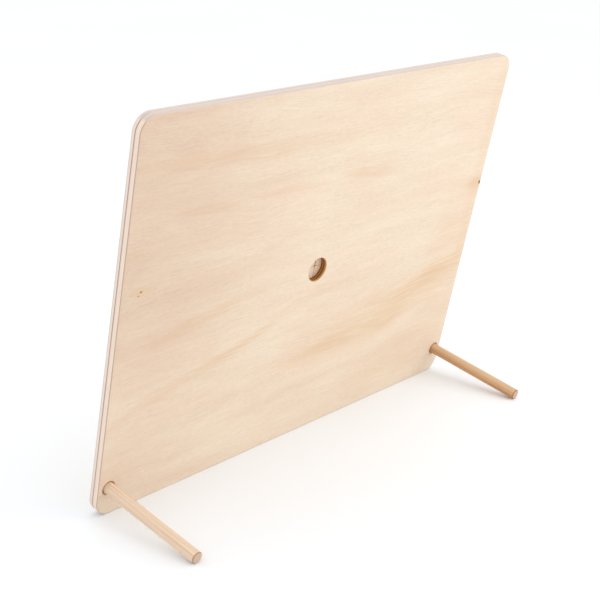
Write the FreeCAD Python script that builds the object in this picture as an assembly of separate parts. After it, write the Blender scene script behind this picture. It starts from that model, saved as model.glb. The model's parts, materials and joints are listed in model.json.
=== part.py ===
import FreeCAD, Part
import math
import os

# A weaving loom: a tray of two plywood layers that leans back on two plug-in legs.
# The rear panel carries the leg sockets and a finger hole. The front frame is glued to it and
# makes a shallow recess, in which four notched weaving boards lie loose, meeting in the middle.
#
# Row frame: X across the loom, to the right as seen from the weaving side; Y from the weaving
# side towards the legs; Z up. The origin is the middle of the underside of the loom's box.
#
# Every piece is first drawn upright in the tray's own frame: x across from the middle, y from
# the front (negative) to the tray's back face (zero), z up from the tray's bottom edge.

# Driving sizes, in millimetres

tray_width = 530.0
tray_height = 400.0
tray_corner_radius = 17.0
panel_thickness = 7.0
outer_arris_radius = 0.8      # easing of the tray's back and front outlines
glue_line_chamfer = 0.3       # fine groove where the two layers meet
recess_arris_radius = 0.5     # easing round the mouth of the recess

finger_hole_diameter = 26.0
finger_hole_offset = 3.0      # the hole lies this far to the +X side of the middle
finger_hole_chamfer = 0.5

leg_diameter = 12.0
leg_reach = 123.0             # how far a leg stands out of the tray's back face
leg_height = 31.0             # a leg's axis above the tray's bottom edge
leg_end_chamfer = 1.0
leg_edge_margin = 6.0         # wood between a socket's leg and the tray's side
leg_recess_margin = 6.0       # wood between a socket's leg and the recess
socket_floor = 2.0            # wood left between a socket and the front
socket_mouth_chamfer = 1.5

board_thickness = 4.0
board_set_back = 0.4          # how far the boards' faces lie below the frame's face
board_corner_radius = 2.0
board_arris_radius = 0.4
notch_width = 2.5
notch_depth = 7.0
notch_pitch = 10.0
notch_end_margin = 20.0       # least distance from a board's corner to a notch's middle

# Clearances, in millimetres

leg_radial_clearance = 0.08
leg_end_clearance = 0.2
board_back_clearance = 0.1
board_side_play = 2.0         # recess width less two boards
board_height_play = 1.2       # recess height less two boards
upper_seam = 1.3              # gap between the two upper boards
lower_seam = 0.6              # gap between the two lower boards
row_seam = 0.4                # gap between the upper and the lower boards
recess_foot_gap = 0.3         # gap below the lower boards

# Dependent sizes

frame_thickness = board_back_clearance + board_thickness + board_set_back
tray_thickness = panel_thickness + frame_thickness
leg_radius = leg_diameter / 2
leg_x = tray_width / 2 - leg_edge_margin - leg_radius
rim_width = leg_edge_margin + leg_diameter + leg_recess_margin
recess_width = tray_width - 2 * rim_width
recess_height = tray_height - 2 * rim_width
board_width = (recess_width - board_side_play) / 2
board_height = (recess_height - board_height_play) / 2
socket_radius = leg_radius + leg_radial_clearance
socket_depth = tray_thickness - socket_floor
leg_length = leg_reach + socket_depth - leg_end_clearance
finger_hole_z = tray_height / 2

X_AXIS = FreeCAD.Vector(1, 0, 0)
Y_AXIS = FreeCAD.Vector(0, 1, 0)
TOLERANCE = 1e-4
OVERRUN = 1.0                 # how far a cutting tool runs past the wood


def edges_through(shape):
    """The straight edges that run through the thickness, along y."""
    return [edge for edge in shape.Edges if edge.BoundBox.YLength > TOLERANCE]


def edges_on_plane(shape, y):
    """The edges that lie flat at this y."""
    found = []
    for edge in shape.Edges:
        box = edge.BoundBox
        if box.YLength < TOLERANCE and abs(box.YMin - y) < TOLERANCE:
            found.append(edge)
    return found


def plate(width, height, y_front, y_back, corner_radius, z_low=0.0):
    """An upright plate with four rounded corners."""
    corner = FreeCAD.Vector(-width / 2, y_front, z_low)
    block = Part.makeBox(width, y_back - y_front, height, corner)
    return block.makeFillet(corner_radius, edges_through(block))


def bore(radius, y_from, y_to, x, z):
    """A round tool along y."""
    return Part.makeCylinder(radius, y_to - y_from, FreeCAD.Vector(x, y_from, z), Y_AXIS)


def mouth(radius, chamfer, x, z):
    """A cone that chamfers a bore's mouth in the tray's back face, y = 0."""
    base = FreeCAD.Vector(x, -chamfer, z)
    return Part.makeCone(radius, radius + chamfer, chamfer, base, Y_AXIS)


def leg_sockets():
    """The tools that drill both leg sockets, with their chamfered mouths."""
    tools = []
    for x in (-leg_x, leg_x):
        tools.append(bore(socket_radius, -socket_depth, OVERRUN, x, leg_height))
        tools.append(mouth(socket_radius, socket_mouth_chamfer, x, leg_height))
    return tools


def rear_panel():
    panel = plate(tray_width, tray_height, -panel_thickness, 0.0, tray_corner_radius)
    panel = panel.makeFillet(outer_arris_radius, edges_on_plane(panel, 0.0))
    panel = panel.makeChamfer(glue_line_chamfer, edges_on_plane(panel, -panel_thickness))
    hole_radius = finger_hole_diameter / 2
    y_under = -panel_thickness - OVERRUN
    hole = bore(hole_radius, y_under, OVERRUN, finger_hole_offset, finger_hole_z)
    hole_mouth = mouth(hole_radius, finger_hole_chamfer, finger_hole_offset, finger_hole_z)
    return panel.cut([hole, hole_mouth] + leg_sockets())


def front_frame():
    y_front = -tray_thickness
    y_back = -panel_thickness
    frame = plate(tray_width, tray_height, y_front, y_back, tray_corner_radius)
    frame = frame.makeFillet(outer_arris_radius, edges_on_plane(frame, y_front))
    frame = frame.makeChamfer(glue_line_chamfer, edges_on_plane(frame, y_back))
    recess = plate(
        recess_width, recess_height, y_front - OVERRUN, y_back + OVERRUN,
        board_corner_radius, z_low=rim_width,
    )
    frame = frame.cut([recess] + leg_sockets())
    recess_edges = [
        edge for edge in edges_on_plane(frame, y_front)
        if edge.BoundBox.XMax < recess_width / 2 + TOLERANCE
        and edge.BoundBox.XMin > -recess_width / 2 - TOLERANCE
        and edge.BoundBox.ZMax < rim_width + recess_height + TOLERANCE
        and edge.BoundBox.ZMin > rim_width - TOLERANCE
    ]
    return frame.makeFillet(recess_arris_radius, recess_edges)


def notch(x, z_edge, inward):
    """One warp notch: a slot from a board's edge inwards, with a round end."""
    radius = notch_width / 2
    z_end = z_edge + inward * (notch_depth - radius)
    z_out = z_edge - inward * OVERRUN
    y_from = -board_thickness - OVERRUN
    thickness = board_thickness + 2 * OVERRUN
    corner = FreeCAD.Vector(x - radius, y_from, min(z_out, z_end))
    slot = Part.makeBox(notch_width, thickness, abs(z_end - z_out), corner)
    end = bore(radius, y_from, y_from + thickness, x, z_end)
    return slot.fuse(end)


def weaving_board():
    """One board, centred on x = 0, its back at y = 0 and its bottom edge at z = 0."""
    board = plate(board_width, board_height, -board_thickness, 0.0, board_corner_radius)
    board = board.makeFillet(board_arris_radius, edges_on_plane(board, -board_thickness))
    board = board.makeFillet(board_arris_radius, edges_on_plane(board, 0.0))
    notch_gaps = int((board_width - 2 * notch_end_margin) / notch_pitch)
    notches = []
    for place in range(notch_gaps + 1):
        x = (place - notch_gaps / 2) * notch_pitch
        notches.append(notch(x, 0.0, 1))
        notches.append(notch(x, board_height, -1))
    return board.cut(notches)


def weaving_boards():
    """The four boards in the recess, by name, left and right as seen from the front."""
    pattern = weaving_board()
    z_lower = rim_width + recess_foot_gap
    z_upper = z_lower + board_height + row_seam
    boards = {}
    for row, z, seam in (("upper", z_upper, upper_seam), ("lower", z_lower, lower_seam)):
        for hand, side in (("left", -1), ("right", 1)):
            board = pattern.copy()
            x = side * (board_width + seam) / 2
            y = -panel_thickness - board_back_clearance
            board.translate(FreeCAD.Vector(x, y, z))
            boards["weaving_board_" + row + "_" + hand] = board
    return boards


def leg(x):
    y_inner = -socket_depth + leg_end_clearance
    rod = bore(leg_radius, y_inner, y_inner + leg_length, x, leg_height)
    ends = edges_on_plane(rod, y_inner) + edges_on_plane(rod, y_inner + leg_length)
    return rod.makeChamfer(leg_end_chamfer, ends)


def lean_angle():
    """How far the tray leans back, in degrees, when its eased bottom arris and both leg
    ends stand on one floor."""
    rise = leg_height - leg_radius - outer_arris_radius
    run = leg_reach - leg_end_chamfer + outer_arris_radius
    slope = math.atan2(run, rise)
    return math.degrees(math.acos(-outer_arris_radius / math.hypot(rise, run)) - slope)


def upright_pieces():
    pieces = {"rear_panel": rear_panel(), "front_frame": front_frame()}
    pieces.update(weaving_boards())
    pieces["leg_left"] = leg(-leg_x)
    pieces["leg_right"] = leg(leg_x)
    return pieces


def row_placement(pieces):
    """The lean, and then the move that puts the origin under the middle of the loom's box."""
    lean = FreeCAD.Rotation(X_AXIS, -lean_angle())
    placement = FreeCAD.Placement(FreeCAD.Vector(0, 0, 0), lean)
    leaned = Part.makeCompound(list(pieces.values())).transformGeometry(placement.toMatrix())
    box = leaned.optimalBoundingBox(False)
    middle = FreeCAD.Vector(0, (box.YMin + box.YMax) / 2, box.ZMin)
    return FreeCAD.Placement(-middle, lean)


pieces = upright_pieces()
placement = row_placement(pieces)
os.makedirs("parts", exist_ok=True)
for name, shape in pieces.items():
    shape.Placement = placement.multiply(shape.Placement)
    shape.exportStep("parts/" + name + ".step")
    print(name, "solids", len(shape.Solids), "valid", shape.isValid(), "volume", round(shape.Volume))
print("lean", round(lean_angle(), 3), "degrees")
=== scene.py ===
# The loom's looks: light plywood with a quiet figure, round holes whose walls are browned with char
# and painted shade, and two beech legs.
# Everything is in metres in the row frame, apart from material patterns, which are in millimetres.
import json
import math
import bmesh
import bpy
from mathutils import Matrix, Vector


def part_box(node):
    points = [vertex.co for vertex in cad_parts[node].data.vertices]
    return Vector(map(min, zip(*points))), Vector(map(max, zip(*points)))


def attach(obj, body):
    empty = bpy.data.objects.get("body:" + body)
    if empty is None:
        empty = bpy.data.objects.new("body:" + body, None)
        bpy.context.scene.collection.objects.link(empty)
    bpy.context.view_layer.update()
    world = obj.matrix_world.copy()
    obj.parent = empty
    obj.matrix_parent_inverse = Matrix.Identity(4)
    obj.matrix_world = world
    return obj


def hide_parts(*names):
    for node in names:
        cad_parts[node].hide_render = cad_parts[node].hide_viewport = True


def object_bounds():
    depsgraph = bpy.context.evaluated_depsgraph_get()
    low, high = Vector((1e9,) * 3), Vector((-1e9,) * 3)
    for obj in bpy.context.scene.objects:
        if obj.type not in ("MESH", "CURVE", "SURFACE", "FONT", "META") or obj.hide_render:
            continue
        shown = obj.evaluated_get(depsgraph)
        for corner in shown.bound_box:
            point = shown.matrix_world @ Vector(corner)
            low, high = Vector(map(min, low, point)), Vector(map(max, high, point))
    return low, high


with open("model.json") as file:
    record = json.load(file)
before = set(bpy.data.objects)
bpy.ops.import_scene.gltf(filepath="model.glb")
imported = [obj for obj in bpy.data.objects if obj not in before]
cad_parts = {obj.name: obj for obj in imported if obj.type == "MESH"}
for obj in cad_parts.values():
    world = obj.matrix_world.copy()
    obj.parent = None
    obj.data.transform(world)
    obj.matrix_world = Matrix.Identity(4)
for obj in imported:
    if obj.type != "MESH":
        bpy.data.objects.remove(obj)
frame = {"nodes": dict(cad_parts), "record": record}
cad_low, cad_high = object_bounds()

MM = 0.001
ENDLESS = 1e6        # a size along an axis that a pattern doesn't change along
MOUNTS = {mount["name"]: mount for mount in frame["record"]["mounts"]}

# The tray leans: its own axes are x across, y out of the back face, z up along the board.
BACK = Vector(MOUNTS["back_face"]["axis"])
UP = Vector((1, 0, 0)).cross(BACK)
LEAN = math.atan2(BACK.z, BACK.y)

# The middle of the back face, and the tray's sizes in millimetres.
HOLE = Vector(MOUNTS["finger_hole"]["pos_m"])
BACK_PLACE = Vector(MOUNTS["back_face"]["pos_m"])
FRONT_PLACE = Vector(MOUNTS["front_rim"]["pos_m"])
MIDDLE = Vector((0, HOLE.y, HOLE.z)) + BACK * (BACK_PLACE - HOLE).dot(BACK)
HOLE_OFFSET = HOLE.x / MM
HOLE_RADIUS = MOUNTS["finger_hole"]["dims"]["r_mm"]
TRAY_HALF_WIDTH = cad_high.x / MM
TRAY_THICKNESS = (BACK_PLACE - FRONT_PLACE).dot(BACK) / MM


def centre(node):
    """The middle of a CAD node's box."""
    low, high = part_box(node)
    return (low + high) / 2


def reach(node, axis):
    """How far a CAD node's mesh goes either way along an axis from its middle, in metres."""
    middle = centre(node)
    along = [(vertex.co - middle).dot(axis) for vertex in frame["nodes"][node].data.vertices]
    return min(along), max(along)


def tray_place(point):
    """A point of the row frame as tray millimetres from the middle of the back face."""
    offset = (point - MIDDLE) / MM
    return Vector((offset.x, offset.dot(BACK), offset.dot(UP)))


# ---------------------------------------------------------------- node building

class Nodes:
    """Builds one material's nodes. Numbers and tuples set a socket, and outputs are linked."""

    def __init__(self, name):
        self.material = bpy.data.materials.new(name)
        self.material.use_nodes = True
        self.tree = self.material.node_tree
        self.shader = self.tree.nodes["Principled BSDF"]
        coordinates = self.add("TexCoord")
        self.object_place = coordinates.outputs["Object"]
        self.normal = coordinates.outputs["Normal"]

    def feed(self, socket, value):
        if isinstance(value, bpy.types.NodeSocket):
            self.tree.links.new(value, socket)
        else:
            socket.default_value = value

    def add(self, kind, inputs=(), **settings):
        node = self.tree.nodes.new("ShaderNode" + kind)
        for key, value in settings.items():
            setattr(node, key, value)
        for key, value in inputs:
            self.feed(node.inputs[key], value)
        return node

    def math(self, operation, *values):
        return self.add("Math", enumerate(values), operation=operation).outputs[0]

    def dot(self, vector, axis):
        inputs = ((0, vector), (1, tuple(axis)))
        return self.add("VectorMath", inputs, operation="DOT_PRODUCT").outputs["Value"]

    def length(self, vector):
        return self.add("VectorMath", [(0, vector)], operation="LENGTH").outputs["Value"]

    def axes(self, vector):
        return self.add("SeparateXYZ", [(0, vector)]).outputs

    def join(self, x, y, z):
        return self.add("CombineXYZ", enumerate((x, y, z))).outputs[0]

    def placed(self, vector, origin=(0, 0, 0), size=(1, 1, 1), turn=(0, 0, 0)):
        """Coordinates from an origin, turned and measured in units of size."""
        inputs = (("Vector", vector), ("Location", tuple(origin)), ("Rotation", turn), ("Scale", size))
        return self.add("Mapping", inputs, vector_type="TEXTURE").outputs[0]

    def noise(self, vector, size, detail=2.0, roughness=0.5, origin=(0, 0, 0)):
        """Soft noise about 0.5, whose features are this size along each axis."""
        place = self.placed(vector, origin, size)
        inputs = (("Vector", place), ("Scale", 1.0), ("Detail", detail), ("Roughness", roughness))
        return self.add("TexNoise", inputs).outputs["Fac"]

    def spread(self, value, low, high, to_low=0.0, to_high=1.0, kind="SMOOTHSTEP"):
        """The value's range from low to high, stretched to another range and held there."""
        inputs = ((0, value), (1, low), (2, high), (3, to_low), (4, to_high))
        return self.add("MapRange", inputs, interpolation_type=kind).outputs[0]

    def swing(self, noise, size):
        """Noise about 0.5, turned into a swing about 0 of this size."""
        return self.math("MULTIPLY_ADD", noise, size, -size / 2)

    def ramp(self, value, stops):
        """A colour for a value, from (position, colour) stops."""
        node = self.add("ValToRGB", [(0, value)])
        elements = node.color_ramp.elements
        while len(elements) < len(stops):
            elements.new(1.0)
        for element, (position, stop_colour) in zip(elements, stops):
            element.position = position
            element.color = stop_colour
        return node.outputs[0]

    def mix(self, share, first, second, blend="MIX"):
        node = self.add("Mix", data_type="RGBA", blend_type=blend)
        for index, value in ((0, share), (6, first), (7, second)):
            self.feed(node.inputs[index], value)
        return node.outputs[2]

    def multiply(self, first, second):
        """A colour darkened by another colour."""
        return self.mix(1.0, first, second, "MULTIPLY")

    def total(self, values):
        result = values[0]
        for value in values[1:]:
            result = self.math("ADD", result, value)
        return result

    def patch(self, place, x, z, half_length, half_height, tilt=0.0, soft=1.0):
        """1 inside an ellipse on the face, falling to 0 outside it. Tilt is in degrees, and
        soft is the width of the fall as a share of the ellipse."""
        size = (half_length, ENDLESS, half_height)
        local = self.placed(place, (x, 0, z), size, (0, math.radians(-tilt), 0))
        return self.spread(self.length(local), 1.0 + soft / 2, max(0.0, 1.0 - soft / 2))


def colour(red, green, blue):
    """A linear RGBA colour from the 0 to 255 values of a paint chart."""
    parts = []
    for value in (red, green, blue):
        share = value / 255
        parts.append(share / 12.92 if share <= 0.04045 else ((share + 0.055) / 1.055) ** 2.4)
    return (*parts, 1.0)


# ---------------------------------------------------------------- plywood

# Faces
FACE_CREAM = colour(238, 223, 202)
FACE_PINK = colour(236, 216, 195)
FACE_DARK = colour(204, 175, 145)
FACE_WARM = colour(217, 184, 147)
SIDE_TINT_AND_SHADE = (0.880, 0.812, 0.780, 1.0)   # multiplies the colour at the veneer's redder side, which is partly its tone and partly painted shade
# Partly the boards' own blush, partly painted warm shade for light bounced inside the finger hole.
BOARD_BLUSH_AND_WARM_SHADE = colour(238, 192, 150)
KNOT = colour(92, 56, 30)

# Plies at the side edges, and at the top and bottom edges; the darkest top band, at the back, is
# partly painted shade
EDGE_LIGHT = colour(233, 213, 197)
EDGE_PALE = colour(229, 213, 203)
EDGE_GREY = colour(212, 195, 186)
EDGE_MID = colour(214, 188, 170)
EDGE_LINE = colour(176, 146, 126)
TOP_LIGHT = colour(219, 204, 193)
TOP_MID = colour(211, 196, 187)
TOP_DARK = colour(203, 188, 179)

# Walls of the holes: char, with painted shade that darkens them down their depth
CHAR_RIM = colour(206, 166, 116)
CHAR_MOUTH = colour(180, 132, 76)
CHAR_MID_AND_SHADE = colour(168, 112, 52)
CHAR_DEEP_AND_SHADE = colour(118, 62, 16)
SOCKET_LIP = colour(196, 158, 116)


def tray_coordinates(nodes, origin):
    """Millimetres along the tray's axes from an origin in the row frame."""
    return nodes.placed(nodes.object_place, origin, (MM, MM, MM), (LEAN, 0, 0))


GRAIN_WANDER = 30.0               # how far the streaks bend up and down, in millimetres
MEAN_WANDER = GRAIN_WANDER / 2


def grain(nodes, place):
    """Streaks along x, which wander a little: fine streaks, broad bands, pores, mottling and
    hue, and the bent coordinates that they follow."""
    x, y, z = nodes.axes(place)
    drift = nodes.noise(place, (170, 30, 60), 2.0)
    bent = nodes.join(x, y, nodes.math("MULTIPLY_ADD", drift, GRAIN_WANDER, z))
    fine = nodes.noise(bent, (32, 4, 0.9), 5.0, 0.70)
    broad = nodes.noise(bent, (210, 12, 15), 3.0, 0.55)
    pores = nodes.noise(bent, (5, 1, 0.5), 3.0, 0.7)
    mottle = nodes.noise(bent, (7, 4, 2.2), 3.0, 0.6)
    hue = nodes.noise(bent, (120, 20, 34), 2.0, 0.5, (400, 0, 90))
    return fine, broad, pores, mottle, hue, bent


def figure(nodes, bent):
    """The back face's own marks, warm lenses and streaks, placed from the face's middle in
    millimetres."""
    marks = (
        # x, z, half length, half height, tilt, softness, strength
        (-112, -80, 145, 27, -10, 1.0, 0.46),
        (-95, -94, 95, 11, -3, 0.7, 0.30),
        (-195, -62, 75, 14, -12, 0.8, 0.36),
        (160, -76, 100, 7, -13, 0.8, 0.38),
        (105, -58, 55, 5, -12, 0.8, 0.36),
        (150, -12, 70, 6, -8, 0.9, 0.40),
        (20, -32, 50, 6, -10, 0.9, 0.25),
        (60, 98, 50, 5, 4, 0.8, 0.40),
        (-60, 96, 45, 7, 4, 0.8, 0.40),
        (175, 98, 40, 5, 4, 0.8, 0.35),
        (120, 150, 150, 9, 3, 0.9, 0.30),
        (-230, -30, 36, 90, 4, 1.0, 0.25),
        (-258, 60, 12, 140, 0, 1.0, 0.25),
        (-190, -150, 60, 30, -8, 1.0, 0.25),
    )
    parts = []
    for x, z, half_length, half_height, tilt, soft, strength in marks:
        mask = nodes.patch(bent, x, z, half_length, half_height, tilt, soft)
        parts.append(nodes.math("MULTIPLY", mask, strength))
    return nodes.total(parts)


def knots(nodes, place, face_colour):
    """A pin knot and its speck near one side of the back face, and a dark knot cut by the
    other side."""
    places = (
        # x, z, radius, half length of the halo, strength
        (243, 36, 1.0, 12, 0.65),
        (245.5, 32.5, 0.8, 5, 0.45),
        (-263.8, 49, 2.1, 26, 0.9),
    )
    for x, z, radius, halo, strength in places:
        glow = nodes.patch(place, x, z, halo, halo * 0.3)
        glow = nodes.math("MULTIPLY", glow, 0.8 * strength)
        face_colour = nodes.mix(glow, face_colour, FACE_WARM)
        spot = nodes.patch(place, x, z, radius * 1.4, radius, soft=0.8)
        face_colour = nodes.mix(nodes.math("MULTIPLY", spot, strength), face_colour, KNOT)
    return face_colour


def ply_edge(nodes, place, side, thickness, plies):
    """Bands along an edge. Side is 1 on the side edges and 0 on the top and bottom edges,
    which show the same plies in other tones, because the grain meets them the other way."""
    depth = nodes.math("DIVIDE", nodes.axes(place)[1], -thickness)
    streaks = nodes.noise(place, (26, 0.35, 26), 3.0, 0.6)
    wavy = nodes.math("ADD", depth, nodes.swing(streaks, 0.024))
    edge_colour = nodes.mix(side, nodes.ramp(wavy, plies["top"]), nodes.ramp(wavy, plies["side"]))
    shade = nodes.spread(streaks, 0.25, 0.75, 0.90, 1.05)
    return nodes.multiply(edge_colour, nodes.join(shade, shade, shade))


# Colours across the thickness, from the back at 0 to the front at 1.
TRAY_PLIES = {
    "side": (
        (0.000, EDGE_MID), (0.025, EDGE_MID), (0.050, EDGE_LINE), (0.080, EDGE_LINE),
        (0.125, EDGE_LIGHT), (0.300, EDGE_LIGHT), (0.470, EDGE_LIGHT), (0.540, EDGE_MID),
        (0.590, EDGE_LINE), (0.625, EDGE_LINE), (0.680, EDGE_PALE), (0.830, EDGE_PALE),
        (0.900, EDGE_GREY), (0.960, EDGE_PALE),
    ),
    "top": (
        # The dark band from 0 to 0.2 is partly a ply and partly painted shade: a darker line along the
        # bottom arris, also at the top edge's back.
        (0.000, TOP_DARK), (0.200, TOP_DARK), (0.450, TOP_MID), (0.620, TOP_DARK),
        (0.800, TOP_MID), (1.000, TOP_LIGHT),
    ),
}
BOARD_PLIES = {
    "side": (
        (0.00, EDGE_MID), (0.24, EDGE_MID), (0.27, EDGE_LINE), (0.31, EDGE_LIGHT),
        (0.69, EDGE_LIGHT), (0.73, EDGE_LINE), (0.77, EDGE_MID), (1.00, EDGE_MID),
    ),
    "top": (
        (0.00, EDGE_LIGHT), (0.25, EDGE_LIGHT), (0.31, EDGE_MID), (0.69, EDGE_MID),
        (0.75, EDGE_LIGHT), (1.00, EDGE_LIGHT),
    ),
}


def browned_and_shaded_walls(nodes, place, facing, base, holes, thickness, stops):
    """Browns the walls of round holes, given as (x, z, radius), by colours down their depth: char, and
    painted shade deeper in.
    """
    inside = 0.0
    for x, z, radius in holes:
        local = nodes.placed(place, (x, 0, z), (radius, ENDLESS, radius))
        near = nodes.spread(nodes.length(local), 1.05, 1.0)
        inside = nodes.math("MAXIMUM", near, inside)
    # The brown on the walls is partly char and partly painted shade.
    wall = nodes.math("MULTIPLY", inside, nodes.spread(facing, 0.95, 0.7))
    depth = nodes.math("DIVIDE", nodes.axes(place)[1], -thickness)
    wall_wobble = nodes.noise(place, (2.2, 0.5, 2.2), 3.0, 0.6)
    wavy = nodes.math("ADD", depth, nodes.swing(wall_wobble, 0.06))
    return nodes.mix(wall, base, nodes.ramp(wavy, stops))


# Colours down a hole's wall, as shares of the tray's thickness: partly char, partly painted shade,
# darkest deep in the hole.
FINGER_HOLE_CHAR_AND_SHADE = (
    (0.00, CHAR_RIM), (0.05, CHAR_RIM), (0.10, CHAR_MOUTH), (0.20, CHAR_MOUTH), (0.25, CHAR_DEEP_AND_SHADE),
    (0.31, CHAR_DEEP_AND_SHADE), (0.36, CHAR_MID_AND_SHADE), (0.48, CHAR_MID_AND_SHADE), (0.54, CHAR_DEEP_AND_SHADE),
)
# The socket walls' brown also stands for painted shade in the sockets' mouths.
SOCKET_CHAR_AND_SHADE = ((0.00, SOCKET_LIP), (0.10, SOCKET_LIP), (0.16, CHAR_MID_AND_SHADE))

# Radii, in millimetres, that just take in the holes' chamfered mouths.
FINGER_BROWNING_RADIUS = HOLE_RADIUS + 0.6
SOCKET_BROWNING_RADIUS = 7.8


def browned_and_shaded_holes(nodes, place, facing, base):
    """Browns the tray's finger hole and both leg sockets with char and painted shade."""
    leg = tray_place(centre("leg_right"))
    finger = ((HOLE_OFFSET, 0.0, FINGER_BROWNING_RADIUS),)
    sockets = ((leg.x, leg.z, SOCKET_BROWNING_RADIUS), (-leg.x, leg.z, SOCKET_BROWNING_RADIUS))
    base = browned_and_shaded_walls(nodes, place, facing, base, finger, TRAY_THICKNESS, FINGER_HOLE_CHAR_AND_SHADE)
    return browned_and_shaded_walls(nodes, place, facing, base, sockets, TRAY_THICKNESS, SOCKET_CHAR_AND_SHADE)


def finish_wood(nodes, wood_colour, fine, pores, roughness, relief):
    """Colour, sheen and a little relief from the grain."""
    shader = nodes.shader
    nodes.feed(shader.inputs["Base Color"], wood_colour)
    rough = nodes.spread(fine, 0.3, 0.7, roughness - 0.07, roughness + 0.07, "LINEAR")
    nodes.feed(shader.inputs["Roughness"], rough)
    shader.inputs["Specular IOR Level"].default_value = 0.35
    height = nodes.total((fine, nodes.math("MULTIPLY", pores, 0.6)))
    bump = nodes.add("Bump", (("Strength", 0.35), ("Distance", relief), ("Height", height)))
    nodes.feed(shader.inputs["Normal"], bump.outputs[0])


def back_veneer(nodes, place, bent, face_colour):
    """The face colour, with the back veneer's figure, a redder side that is partly painted shade, and
    knots on the back.
    """
    x, y, z = nodes.axes(place)
    back = nodes.spread(y, -4.0, -3.0)
    striped = nodes.spread(nodes.noise(bent, (60, 4, 2.6), 4.0, 0.65), 0.34, 0.62, 0.35, 1.0)
    marks = figure(nodes, nodes.placed(bent, (0, 0, MEAN_WANDER)))
    marks = nodes.math("MULTIPLY", nodes.math("MULTIPLY", marks, striped), back)
    marked = nodes.mix(marks, face_colour, FACE_WARM)
    # Partly the veneer's redder tone, partly painted shade: darker towards the +x side, most at its
    # top.
    sideward = nodes.spread(x, 0.0, TRAY_HALF_WIDTH)
    upward = nodes.spread(z, -110.0, 20.0, 0.30, 1.0)
    marked = nodes.mix(nodes.math("MULTIPLY", sideward, upward), marked, SIDE_TINT_AND_SHADE, "MULTIPLY")
    return nodes.mix(back, face_colour, knots(nodes, place, marked))


def plywood(name, origin, thickness, plies, seed, tray=False, tone=0.0, warmth=0.0):
    """Plywood with its face grain along x. The tray, whose origin is on its back face and not
    in the middle of its thickness, also has its back veneer and its holes, browned with char and
    painted shade."""
    nodes = Nodes(name)
    place = tray_coordinates(nodes, origin)
    offset = Vector((613.0, 29.0, 171.0)) * seed
    fine, broad, pores, mottle, hue, bent = grain(nodes, nodes.placed(place, offset))
    face_colour = nodes.mix(nodes.spread(hue, 0.35, 0.65), FACE_CREAM, FACE_PINK)
    # Warmth is partly the board's blush and partly painted warm shade.
    face_colour = nodes.mix(warmth, face_colour, BOARD_BLUSH_AND_WARM_SHADE)
    share = nodes.total((
        nodes.swing(fine, 0.95),
        nodes.swing(mottle, 0.45),
        nodes.swing(broad, 0.44),
        nodes.spread(pores, 0.46, 0.24, 0.0, 0.45),
    ))
    share = nodes.math("ADD", share, 0.30 + tone)
    face_colour = nodes.mix(nodes.spread(share, 0.0, 1.0, kind="LINEAR"), face_colour, FACE_DARK)
    if tray:
        face_colour = back_veneer(nodes, place, bent, face_colour)
    facing = nodes.math("ABSOLUTE", nodes.dot(nodes.normal, BACK))
    sideways = nodes.math("ABSOLUTE", nodes.axes(nodes.normal)[0])
    upright = nodes.math("ABSOLUTE", nodes.dot(nodes.normal, UP))
    side = nodes.spread(nodes.math("SUBTRACT", sideways, upright), -0.2, 0.2)
    from_back = place if tray else nodes.placed(place, (0, thickness / 2, 0))
    edge_colour = ply_edge(nodes, from_back, side, thickness, plies)
    wood = nodes.mix(nodes.spread(facing, 0.82, 0.99), edge_colour, face_colour)
    if tray:
        wood = browned_and_shaded_holes(nodes, place, facing, wood)
    finish_wood(nodes, wood, fine, pores, 0.52, 0.00008)
    return nodes.material


# ---------------------------------------------------------------- legs

WARM_BEECH = {
    "light": colour(212, 168, 124), "dark": colour(156, 106, 63),
    "end_light": colour(222, 198, 176), "end_dark": colour(160, 112, 78),
}
PALE_BEECH = {
    "light": colour(232, 212, 189), "dark": colour(203, 170, 141),
    "end_light": colour(222, 196, 176), "end_dark": colour(176, 138, 108),
}
# A painted highlight: the pale streak along the top of a dowel, where the overhead light falls.
PAINTED_TOP_HIGHLIGHT = colour(226, 206, 176)
PITH = (14.0, 0, -9.0)            # the tree's middle, from the dowel's, in millimetres
RING_PITCH = 1.15                 # between two yearly rings, in millimetres
LEG_SEGMENTS = 96
LEG_CHAMFER = 1.0 * MM
LEG_SOFTNESS = 0.22 * MM          # how far each corner of the chamfer is worn back


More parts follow.
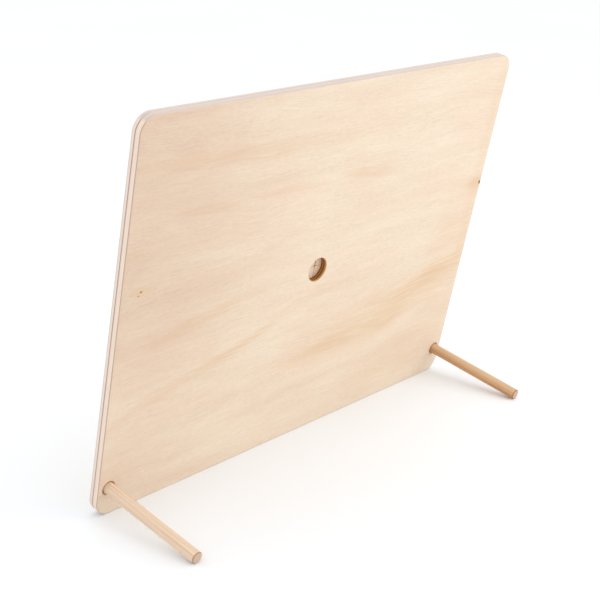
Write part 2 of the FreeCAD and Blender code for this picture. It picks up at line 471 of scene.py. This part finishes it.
def dowel_wood(name, origin, colours, seed, top_highlight=0.0):
    """A turned dowel: grain along y, end grain on its flat ends, a browner chamfer. The top
    highlight is a pale streak painted along its top, a painted highlight where the light falls."""
    nodes = Nodes(name)
    place = tray_coordinates(nodes, origin)
    shifted = nodes.placed(place, (seed * 37.0, seed * 411.0, seed * 53.0))
    fine = nodes.noise(shifted, (0.55, 70, 0.55), 4.0, 0.6)
    broad = nodes.noise(shifted, (2.0, 110, 2.0), 2.0, 0.5)
    flecks = nodes.noise(shifted, (0.35, 3.2, 0.35), 2.0, 0.6)
    parts = (
        nodes.swing(fine, 1.1),
        nodes.swing(broad, 1.4),
        nodes.spread(flecks, 0.44, 0.24, 0.0, 0.6),
    )
    share = nodes.math("ADD", nodes.total(parts), 0.42)
    share = nodes.spread(share, 0.0, 1.0, kind="LINEAR")
    side_colour = nodes.mix(share, colours["light"], colours["dark"])
    # Painted highlight: a pale streak along the dowel's top side.
    height = nodes.math("MULTIPLY_ADD", broad, 3.0, nodes.axes(place)[2])
    highlight_share = nodes.math("MULTIPLY", nodes.spread(height, 2.0, 6.0), top_highlight)
    side_colour = nodes.mix(highlight_share, side_colour, PAINTED_TOP_HIGHLIGHT)
    rings = nodes.placed(place, PITH, (RING_PITCH, ENDLESS, RING_PITCH))
    ring = nodes.math("SINE", nodes.math("MULTIPLY", nodes.length(rings), math.tau))
    speckle = nodes.noise(place, (0.4, 4, 0.4), 3.0, 0.6)
    end_share = nodes.math("MULTIPLY_ADD", ring, 0.22, nodes.math("MULTIPLY", speckle, 0.9))
    end_share = nodes.spread(end_share, 0.1, 0.9, kind="LINEAR")
    end_colour = nodes.mix(end_share, colours["end_light"], colours["end_dark"])
    facing = nodes.math("ABSOLUTE", nodes.dot(nodes.normal, BACK))
    wood = nodes.mix(nodes.spread(facing, 0.2, 0.5), side_colour, colours["end_dark"])
    wood = nodes.mix(nodes.spread(facing, 0.8, 0.97), wood, end_colour)
    finish_wood(nodes, wood, fine, flecks, 0.5, 0.00006)
    return nodes.material


def lathe(name, start, end, profile, segments):
    """A turned piece between two points, from (distance along, radius) pairs."""
    mesh = bmesh.new()
    axis = (end - start).normalized()
    across = axis.cross(UP).normalized()
    third = axis.cross(across)
    rings = []
    for along, radius in profile:
        ring = []
        for index in range(segments):
            angle = math.tau * index / segments
            offset = across * (radius * math.cos(angle)) + third * (radius * math.sin(angle))
            ring.append(mesh.verts.new(start + axis * along + offset))
        rings.append(ring)
    for lower, upper in zip(rings, rings[1:]):
        for index in range(segments):
            following = (index + 1) % segments
            face = mesh.faces.new((lower[index], lower[following], upper[following], upper[index]))
            face.smooth = True
    for ring in (rings[0], rings[-1]):
        mesh.faces.new(ring)
    bmesh.ops.recalc_face_normals(mesh, faces=mesh.faces)
    data = bpy.data.meshes.new(name)
    mesh.to_mesh(data)
    mesh.free()
    piece = bpy.data.objects.new(name, data)
    bpy.context.scene.collection.objects.link(piece)
    return piece


def leg_ends(node):
    """The two end points of a leg's axis and its radius, from the CAD mesh."""
    inner, outer = reach(node, BACK)
    radius = reach(node, UP)[1]
    return centre(node) + BACK * inner, centre(node) + BACK * outer, radius


def leg_profile(length, radius):
    """A chamfered rod with a softened corner on each side of each chamfer."""
    soft = LEG_SOFTNESS
    half = soft * math.sqrt(0.5)
    face_radius = radius - LEG_CHAMFER
    end = [
        (0.0, face_radius - soft),
        (0.25 * half, face_radius - 0.25 * soft),
        (half, face_radius + half),
        (LEG_CHAMFER - half, radius - half),
        (LEG_CHAMFER + 0.1 * soft, radius - 0.2 * half),
        (LEG_CHAMFER + soft, radius),
    ]
    return end + [(length - along, out) for along, out in reversed(end)]


def make_leg(node, piece_name, material):
    """A finely turned dowel that rides a CAD leg and takes its place."""
    start, end, radius = leg_ends(node)
    profile = leg_profile((end - start).length, radius)
    piece = lathe(piece_name, start, end, profile, LEG_SEGMENTS)
    piece.data.materials.append(material)
    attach(piece, node)
    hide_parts(node)


# ---------------------------------------------------------------- stage

FLOOR_HALF_WIDTH = 9.0
PAPER_DARK = (0.850, 0.880, 0.915, 1.0)
PAPER_LIGHT = (0.865, 0.895, 0.930, 1.0)


def pale_floor():
    """A wide sheet of white paper."""
    mesh = bmesh.new()
    bmesh.ops.create_grid(mesh, x_segments=8, y_segments=8, size=FLOOR_HALF_WIDTH)
    data = bpy.data.meshes.new("floor")
    mesh.to_mesh(data)
    mesh.free()
    floor = bpy.data.objects.new("floor", data)
    bpy.context.scene.collection.objects.link(floor)
    nodes = Nodes("pale_floor")
    cloud = nodes.noise(nodes.object_place, (0.5, 0.5, 0.5), 2.0)
    tone = nodes.spread(cloud, 0.3, 0.7, kind="LINEAR")
    paper = nodes.mix(tone, PAPER_DARK, PAPER_LIGHT)
    nodes.feed(nodes.shader.inputs["Base Color"], paper)
    nodes.shader.inputs["Roughness"].default_value = 0.9
    nodes.shader.inputs["Specular IOR Level"].default_value = 0.1
    data.materials.append(nodes.material)


def area_light(name, place, target, size, power):
    """A round light of this many metres and watts that points at the target."""
    data = bpy.data.lights.new(name, "AREA")
    data.shape = "DISK"
    data.size = size
    data.energy = power
    light = bpy.data.objects.new(name, data)
    light.location = place
    light.rotation_euler = (Vector(place) - target).to_track_quat("Z", "Y").to_euler()
    bpy.context.scene.collection.objects.link(light)


def studio():
    """Even white light all round, and two soft lights from behind the loom."""
    world = bpy.data.worlds.new("studio")
    world.use_nodes = True
    background = world.node_tree.nodes["Background"]
    background.inputs["Color"].default_value = (1.0, 0.995, 0.985, 1.0)
    background.inputs["Strength"].default_value = 1.14
    bpy.context.scene.world = world
    bpy.context.scene.view_settings.view_transform = "Standard"
    area_light("overhead", (-0.7, 0.9, 2.2), MIDDLE, size=1.6, power=7.0)
    area_light("side", (-1.1, 1.0, 0.7), MIDDLE, size=0.9, power=3.0)


def photo_camera():
    """A camera behind, beside and above the loom. Angles are in degrees, and azimuth 0 looks
    at the front."""
    azimuth, elevation, roll = 131.91, 19.30, 1.232
    distance = 1.27218
    target = Vector((0.02218, -0.02434, 0.16653))
    around, above = math.radians(azimuth), math.radians(elevation)
    flat = math.cos(above)
    back = Vector((math.sin(around) * flat, -math.cos(around) * flat, math.sin(above)))
    data = bpy.data.cameras.new("camera")
    data.lens = 75.37
    data.sensor_width = 36.0
    camera = bpy.data.objects.new("camera", data)
    bpy.context.scene.collection.objects.link(camera)
    facing = (-back).to_track_quat("-Z", "Y").to_matrix().to_4x4()
    turn = Matrix.Rotation(math.radians(roll), 4, "Z")
    camera.matrix_world = Matrix.Translation(target + back * distance) @ facing @ turn
    bpy.context.scene.camera = camera


# ---------------------------------------------------------------- assembly

def dress(node, material):
    """Gives a CAD node that stays visible its material."""
    for slot in frame["nodes"][node].material_slots:
        slot.material = material


panel = plywood("panel_plywood_figured", MIDDLE, TRAY_THICKNESS, TRAY_PLIES, 0.0, tray=True)
dress("rear_panel", panel)
dress("front_frame", panel)

# Place, seed, tone (above 0 is darker) and warmth
# The left boards' darker, warmer tone is partly their own and partly painted shade seen through the
# finger hole.
BOARDS = (
    ("upper_left", 1.0, 0.0, 0.50),
    ("upper_right", 2.0, -0.12, 0.20),
    ("lower_left", 3.0, 0.03, 0.55),
    ("lower_right", 4.0, -0.10, 0.25),
)
for place_name, seed, tone, warmth in BOARDS:
    node = "weaving_board_" + place_name
    back, front = reach(node, -BACK)
    board = plywood(
        "board_plywood_" + place_name, centre(node), (front - back) / MM, BOARD_PLIES, seed,
        tone=tone, warmth=warmth,
    )
    dress(node, board)

left_wood = dowel_wood("warm_beech", centre("leg_left"), WARM_BEECH, 1.0, top_highlight=0.38)
right_wood = dowel_wood("pale_beech", centre("leg_right"), PALE_BEECH, 2.0)
make_leg("leg_left", "dowel_left", left_wood)
make_leg("leg_right", "dowel_right", right_wood)

pale_floor()
studio()
photo_camera()
